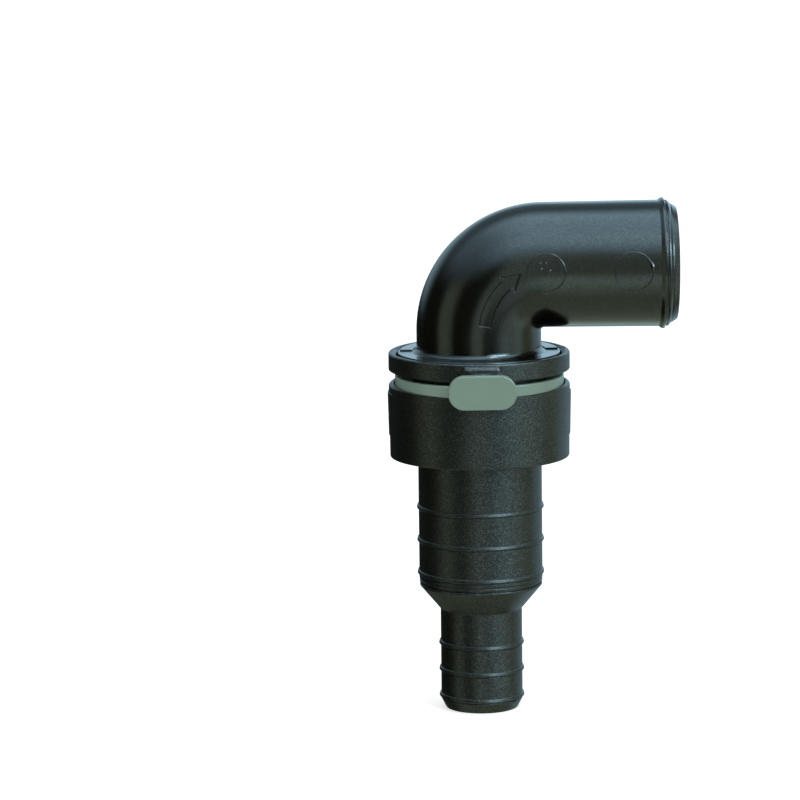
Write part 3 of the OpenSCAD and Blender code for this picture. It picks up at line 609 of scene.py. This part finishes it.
def clip_shells():
    """Retaining clip: a U-shaped bar, round at the front and straight beside the plug, whose outer
    side is a circle centred a little ahead of the valve's axis, the stalk, and the thumb tab."""
    reach = math.sqrt(BAND_IN_R ** 2 - ARM_IN ** 2)
    stop = -reach - BAND_AHEAD
    down = np.concatenate([np.linspace(ARM_L, ARM_L - 3, 5), np.linspace(ARM_L - 3.5, stop, 40)])
    flare = np.clip((down - (ARM_L - 3)) / 3, 0, 1)
    beside = np.where(down < 0, np.minimum(down + BAND_AHEAD, 0), down)
    right_in = np.column_stack([ARM_IN + flare, down])
    right_out = np.column_stack([np.sqrt(BAND_R ** 2 - beside ** 2), down])
    start = math.atan2(-reach, ARM_IN)
    turn = np.linspace(start, -math.pi - start, 90)[1:-1]
    front = np.column_stack([np.cos(turn), np.sin(turn)])
    ahead = np.array([0, -BAND_AHEAD])
    mirrored = np.array([-1, 1])
    inner = np.vstack([right_in, ahead + BAND_IN_R * front, right_in[::-1] * mirrored])
    outer = np.vstack([right_out, ahead + BAND_R * front, right_out[::-1] * mirrored])
    band = bar(inner, outer, Z_CLIP, Z_CLIP + CLIP_H, CLIP_BEVEL)

    half = TAB_W / 2 - TAB_CORNER / 2
    stalk = fillet([(-half, Z_CLIP, 0.3), (half, Z_CLIP, 0.3), (half, Z_CLIP + CLIP_H, 0.3),
                    (-half, Z_CLIP + CLIP_H, 0.3)])
    inside_band, band_front = 26.6, 28.0
    through = np.array([(0.0, inside_band), (0.0, band_front), (0.0, -TAB_BACK + 0.4)])
    w, h = TAB_W / 2, TAB_H / 2
    tab = fillet([(-w, TAB_Z - h, TAB_CORNER), (w, TAB_Z - h, TAB_CORNER),
                  (w, TAB_Z + h, TAB_CORNER), (-w, TAB_Z + h, TAB_CORNER)], step=6.0)
    edge = fillet([(1.0, -TAB_BACK), (0, -TAB_BACK, 0.25), (0, -TAB_FRONT, 0.55), (0.9, -TAB_FRONT),
                   (1.3, -TAB_FRONT)], closed=False)
    return [band, plate(stalk, through, lambda u, v, d: (u, -d, v)),
            plate(tab, edge, lambda u, v, d: (u, -d, v))]


piece("body_moulding", "housing", ["valve_body"], grained_nylon, body_shells())
piece("elbow_moulding", "outlet", ["elbow_outlet"], smooth_nylon, elbow_shells())
piece("clip_moulding", "clip", ["retaining_clip"], clip_acetal, clip_shells())

for node, material in (("outlet_o_ring", seal_rubber), ("valve_seat", natural_acetal),
                       ("seat_gasket", seal_rubber), ("flap", natural_acetal),
                       ("flap_facing", seal_rubber), ("hinge_pin", stainless)):
    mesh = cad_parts[node].data
    mesh.materials.clear()
    mesh.materials.append(material)


def studio():
    """World light by direction. Matt surfaces get a plain level, a little brighter from above. Gloss
    mirrors a soft box overhead, pale ground below, a small bright box at the upper front right, tall
    weak ones round the valve and the darker gaps between them. The camera sees white."""
    world = bpy.data.worlds.new("studio")
    world.use_nodes = True
    bpy.context.scene.world = world
    tree = world.node_tree
    tree.nodes.clear()
    way = put(tree, "TexCoord").outputs["Generated"]
    parts = put(tree, "SeparateXYZ", {0: way}).outputs
    level = put(tree, "VectorMath", {0: put(tree, "CombineXYZ", {0: parts[0], 1: parts[1]}).outputs[0]},
                operation="NORMALIZE").outputs[0]

    def ramp(value, low, high):
        return put(tree, "MapRange", {"Value": value, "From Min": low, "From Max": high},
                   interpolation_type="SMOOTHSTEP").outputs[0]

    def panel(azimuth, half, soft, bottom, top, fade=0.12):
        """One where the direction lies within half degrees of azimuth and between two heights."""
        a = math.radians(azimuth)
        facing = put(tree, "VectorMath", {0: level, 1: (math.sin(a), -math.cos(a), 0.0)},
                     operation="DOT_PRODUCT").outputs["Value"]
        across = ramp(facing, math.cos(math.radians(half + soft)),
                      math.cos(math.radians(max(half - soft, 0))))
        low = ramp(parts[2], bottom - fade, bottom + fade)
        high = ramp(parts[2], top + fade, top - fade)
        return sums(tree, "MULTIPLY", across, sums(tree, "MULTIPLY", low, high))

    middle = ramp(sums(tree, "ABSOLUTE", parts[0]), 0.6, 0.1)
    behind = sums(tree, "MAXIMUM", middle, ramp(parts[1], 0.2, -0.05))
    down = sums(tree, "MULTIPLY", ramp(parts[2], -0.35, -0.75), behind)
    warm = sums(tree, "MULTIPLY_ADD", down, 0.7, 0.02)
    up = sums(tree, "MULTIPLY", ramp(parts[2], 0.33, 0.8), ramp(parts[1], 0.65, 0.2))
    up = sums(tree, "MULTIPLY", up, sums(tree, "MULTIPLY_ADD", ramp(parts[0], -0.7, -0.1), 0.75, 0.25))
    cool = sums(tree, "MULTIPLY_ADD", up, 3.0, sums(tree, "MULTIPLY", ramp(parts[2], 0.3, 0.6), 0.35))
    for azimuth, half, soft, bottom, top, warm_part, cool_part in (
            (-68, 12, 7, -0.75, 0.4, 0.75, 0.0), (-5, 8, 6, -0.75, 0.5, 0.74, 0.2),
            (60, 22, 10, -0.6, 0.6, 0.6, 0.5), (100, 22, 14, -0.75, 0.5, 0.42, 0.0),
            (150, 30, 14, -0.75, 0.45, 0.0, 0.55), (37, 14, 8, 0.0, 0.32, 0.0, 4.5),
            (180, 45, 15, 0.03, 0.4, 0.0, 0.75), (0, 20, 20, -0.55, -0.25, 0.5, 0.5)):
        box = panel(azimuth, half, soft, bottom, top)
        if warm_part:
            warm = sums(tree, "MULTIPLY_ADD", box, warm_part, warm)
        if cool_part:
            cool = sums(tree, "MULTIPLY_ADD", box, cool_part, cool)
    bright = panel(37, 14, 8, 0.34, 0.6, fade=0.06)
    cool = sums(tree, "MULTIPLY_ADD", bright, 20.0, cool)
    warm = put(tree, "VectorMath", {0: (0.8, 1.0, 0.74), "Scale": warm}, operation="SCALE").outputs[0]
    cool = put(tree, "VectorMath", {0: (0.65, 1.0, 1.2), "Scale": cool}, operation="SCALE").outputs[0]
    mirrored = put(tree, "VectorMath", {0: warm, 1: cool}, operation="ADD").outputs[0]
    sideways = put(tree, "MapRange", {"Value": parts[0], "From Min": -1.0, "From Max": 1.0,
                                      "To Min": 0.98, "To Max": 1.08}).outputs[0]
    level_light = put(tree, "MapRange", {"Value": parts[2], "From Min": -0.2, "From Max": 1.0,
                                         "To Min": 0.5, "To Max": 0.85}).outputs[0]
    soft_light = put(tree, "VectorMath", {0: (0.98, 1.0, 1.0), "Scale": sums(
        tree, "MULTIPLY", level_light, sideways)}, operation="SCALE").outputs[0]
    path = put(tree, "LightPath").outputs
    shiny = sums(tree, "MAXIMUM", path["Is Glossy Ray"], path["Is Transmission Ray"])
    lit = put(tree, "Mix", {"Factor": shiny, "A": soft_light, "B": mirrored}, data_type="RGBA")
    colour = put(tree, "Mix", {"Factor": path["Is Camera Ray"], "A": lit.outputs["Result"],
                               "B": (1.0, 1.0, 1.0, 1.0)}, data_type="RGBA")
    shade = put(tree, "Background", {"Color": colour.outputs["Result"], "Strength": 1.0})
    tree.links.new(shade.outputs[0], put(tree, "OutputWorld").inputs["Surface"])
    world.cycles.sampling_method = "NONE"


def floor_and_lamp():
    """Pale floor that reads as white paper and keeps the valve's soft shadow, and one soft lamp."""
    material = bpy.data.materials.new("pale_floor")
    material.use_nodes = True
    tree = material.node_tree
    tree.nodes.clear()
    seen = put(tree, "LightPath").outputs["Is Camera Ray"]
    coords = put(tree, "TexCoord").outputs["Object"]
    mottle = put(tree, "TexNoise", {"Vector": coords, "Scale": 30.0, "Detail": 3.0}).outputs["Fac"]
    shade = put(tree, "MapRange", {"Value": mottle, "To Min": 0.78, "To Max": 0.82}).outputs[0]
    tone = put(tree, "CombineColor", {0: shade, 1: shade, 2: shade}).outputs[0]
    paper = put(tree, "BsdfDiffuse", {"Color": tone})
    glow = put(tree, "Emission", {"Color": (1.0, 1.0, 1.0, 1.0),
                                  "Strength": sums(tree, "MULTIPLY", seen, 0.55)})
    both = put(tree, "AddShader", {0: paper.outputs[0], 1: glow.outputs[0]})
    tree.links.new(both.outputs[0], put(tree, "OutputMaterial").inputs["Surface"])
    mesh = bpy.data.meshes.new("floor")
    half = 8.0
    mesh.from_pydata([(-half, -half, 0), (half, -half, 0), (half, half, 0), (-half, half, 0)], [],
                     [(0, 1, 2, 3)])
    mesh.materials.append(material)
    floor = bpy.data.objects.new("floor", mesh)
    bpy.context.scene.collection.objects.link(floor)
    floor.visible_glossy = False

    lamp = bpy.data.lights.new("soft_lamp", "AREA")
    lamp.shape = "RECTANGLE"
    lamp.size, lamp.size_y = 0.16, 0.4
    lamp.energy = 5.0
    lamp.color = (0.95, 1.0, 1.0)
    holder = bpy.data.objects.new("soft_lamp", lamp)
    spot = np.array([0.5, -0.75, 1.25])
    aim = np.array([0.0, 0.0, 0.08]) - spot
    yaw = math.atan2(-aim[0], aim[1])
    pitch = math.atan2(aim[2], math.hypot(aim[0], aim[1])) + math.pi / 2
    holder.matrix_world = (Matrix.Translation(spot) @ Matrix.Rotation(yaw, 4, "Z")
                           @ Matrix.Rotation(pitch, 4, "X"))
    bpy.context.scene.collection.objects.link(holder)


def camera():
    """Camera at the photograph's place, found from the ellipses of the rims: 1.37 m from the valve,
    0.32 m above its foot, looking 9.5 degrees down, rolled a little, with the valve right of centre."""
    away, aside, height = 1.3667, -0.0244, 0.3249
    yaw, tilt, roll = math.radians(-0.8), math.radians(80.514), math.radians(-0.7)
    lens = bpy.data.cameras.new("camera")
    lens.sensor_width = 36.0
    lens.lens = 202.9
    holder = bpy.data.objects.new("camera", lens)
    holder.matrix_world = (Matrix.Rotation(yaw, 4, "Z") @ Matrix.Translation((aside, -away, height))
                           @ Matrix.Rotation(tilt, 4, "X") @ Matrix.Rotation(roll, 4, "Z"))
    bpy.context.scene.collection.objects.link(holder)
    bpy.context.scene.camera = holder


studio()
floor_and_lamp()
camera()
bpy.context.scene.view_settings.view_transform = "Standard"
